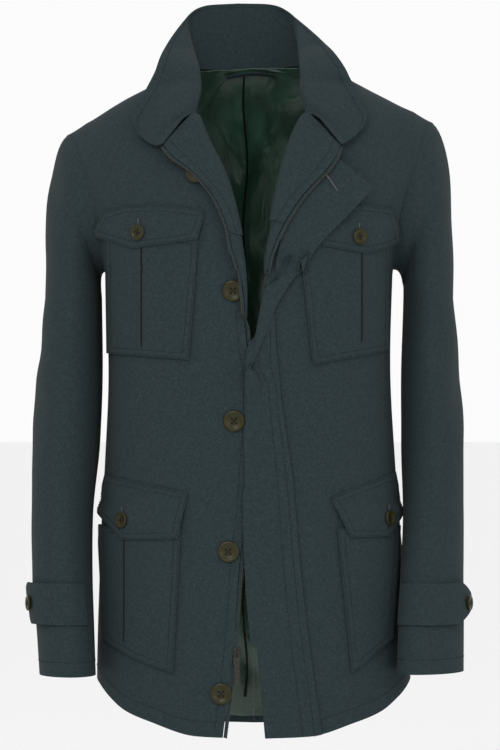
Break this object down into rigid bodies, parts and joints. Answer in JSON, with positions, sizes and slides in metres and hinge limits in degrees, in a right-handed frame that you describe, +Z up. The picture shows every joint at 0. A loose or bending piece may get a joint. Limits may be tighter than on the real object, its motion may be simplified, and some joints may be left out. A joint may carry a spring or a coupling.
{
  "type": "field jacket",
  "caption": "Hip-length field jacket, filled out and open, with turned-out stand collar, zip and buttoned fly, patch pockets and cuff tabs.",
  "frame": {"origin": "centre of the neck opening, level with the back neck seam, where the wearer holds the jacket", "axes": "+Z up; -Y is the jacket's front; +X is the wearer's left"},
  "size_m": [0.5303, 0.3072, 0.8835],
  "materials": {
    "twill": "dark teal-grey heather wool twill, matt",
    "satin": "dark green satin lining, soft sheen",
    "button": "olive, satin polish",
    "zip_tape": "antique brass teeth on a dark tape",
    "gunmetal": "dark gunmetal, polished"
  },
  "bodies": {
    "jacket": {"back_left": "twill", "back_right": "twill", "chest_button_left": "button", "chest_button_right": "button", "chest_flap_left": "twill", "chest_flap_right": "twill", "chest_pocket_left": "twill", "chest_pocket_right": "twill", "collar": "twill", "cuff_button_left": "button", "cuff_button_right": "button", "cuff_tab_left": "twill", "cuff_tab_right": "twill", "facing_left": "twill", "facing_right": "twill", "front_button_1": "button", "front_button_2": "button", "front_button_3": "button", "front_button_4": "button", "front_button_5": "button", "front_left": "twill", "front_right": "twill", "hanger_loop": "twill", "hip_button_left": "button", "hip_button_right": "button", "hip_flap_left": "twill", "hip_flap_right": "twill", "hip_pocket_left": "twill", "hip_pocket_right": "twill", "lining_back": "satin", "placket": "twill", "top_sleeve_left": "twill", "top_sleeve_right": "twill", "under_sleeve_left": "twill", "under_sleeve_right": "twill", "zip_slider_lower": "gunmetal", "zip_slider_upper": "gunmetal", "zip_tape_left": "zip_tape", "zip_tape_left_low": "zip_tape", "zip_tape_right": "zip_tape"},
    "pull_upper": {"zip_pull_upper": "gunmetal"},
    "pull_lower": {"zip_pull_lower": "gunmetal"}
  },
  "joints": [
    {"name": "pull_upper_swing", "type": "hinge", "parent": "jacket", "child": "pull_upper", "pos_m": [-0.01508, -0.14991, -0.7022], "axis": [-1, 0, 0], "range_deg": [0, 150]},
    {"name": "pull_lower_swing", "type": "hinge", "parent": "jacket", "child": "pull_lower", "pos_m": [-0.01631, -0.14233, -0.7132], "axis": [1, 0, 0], "range_deg": [0, 150]}
  ]
}
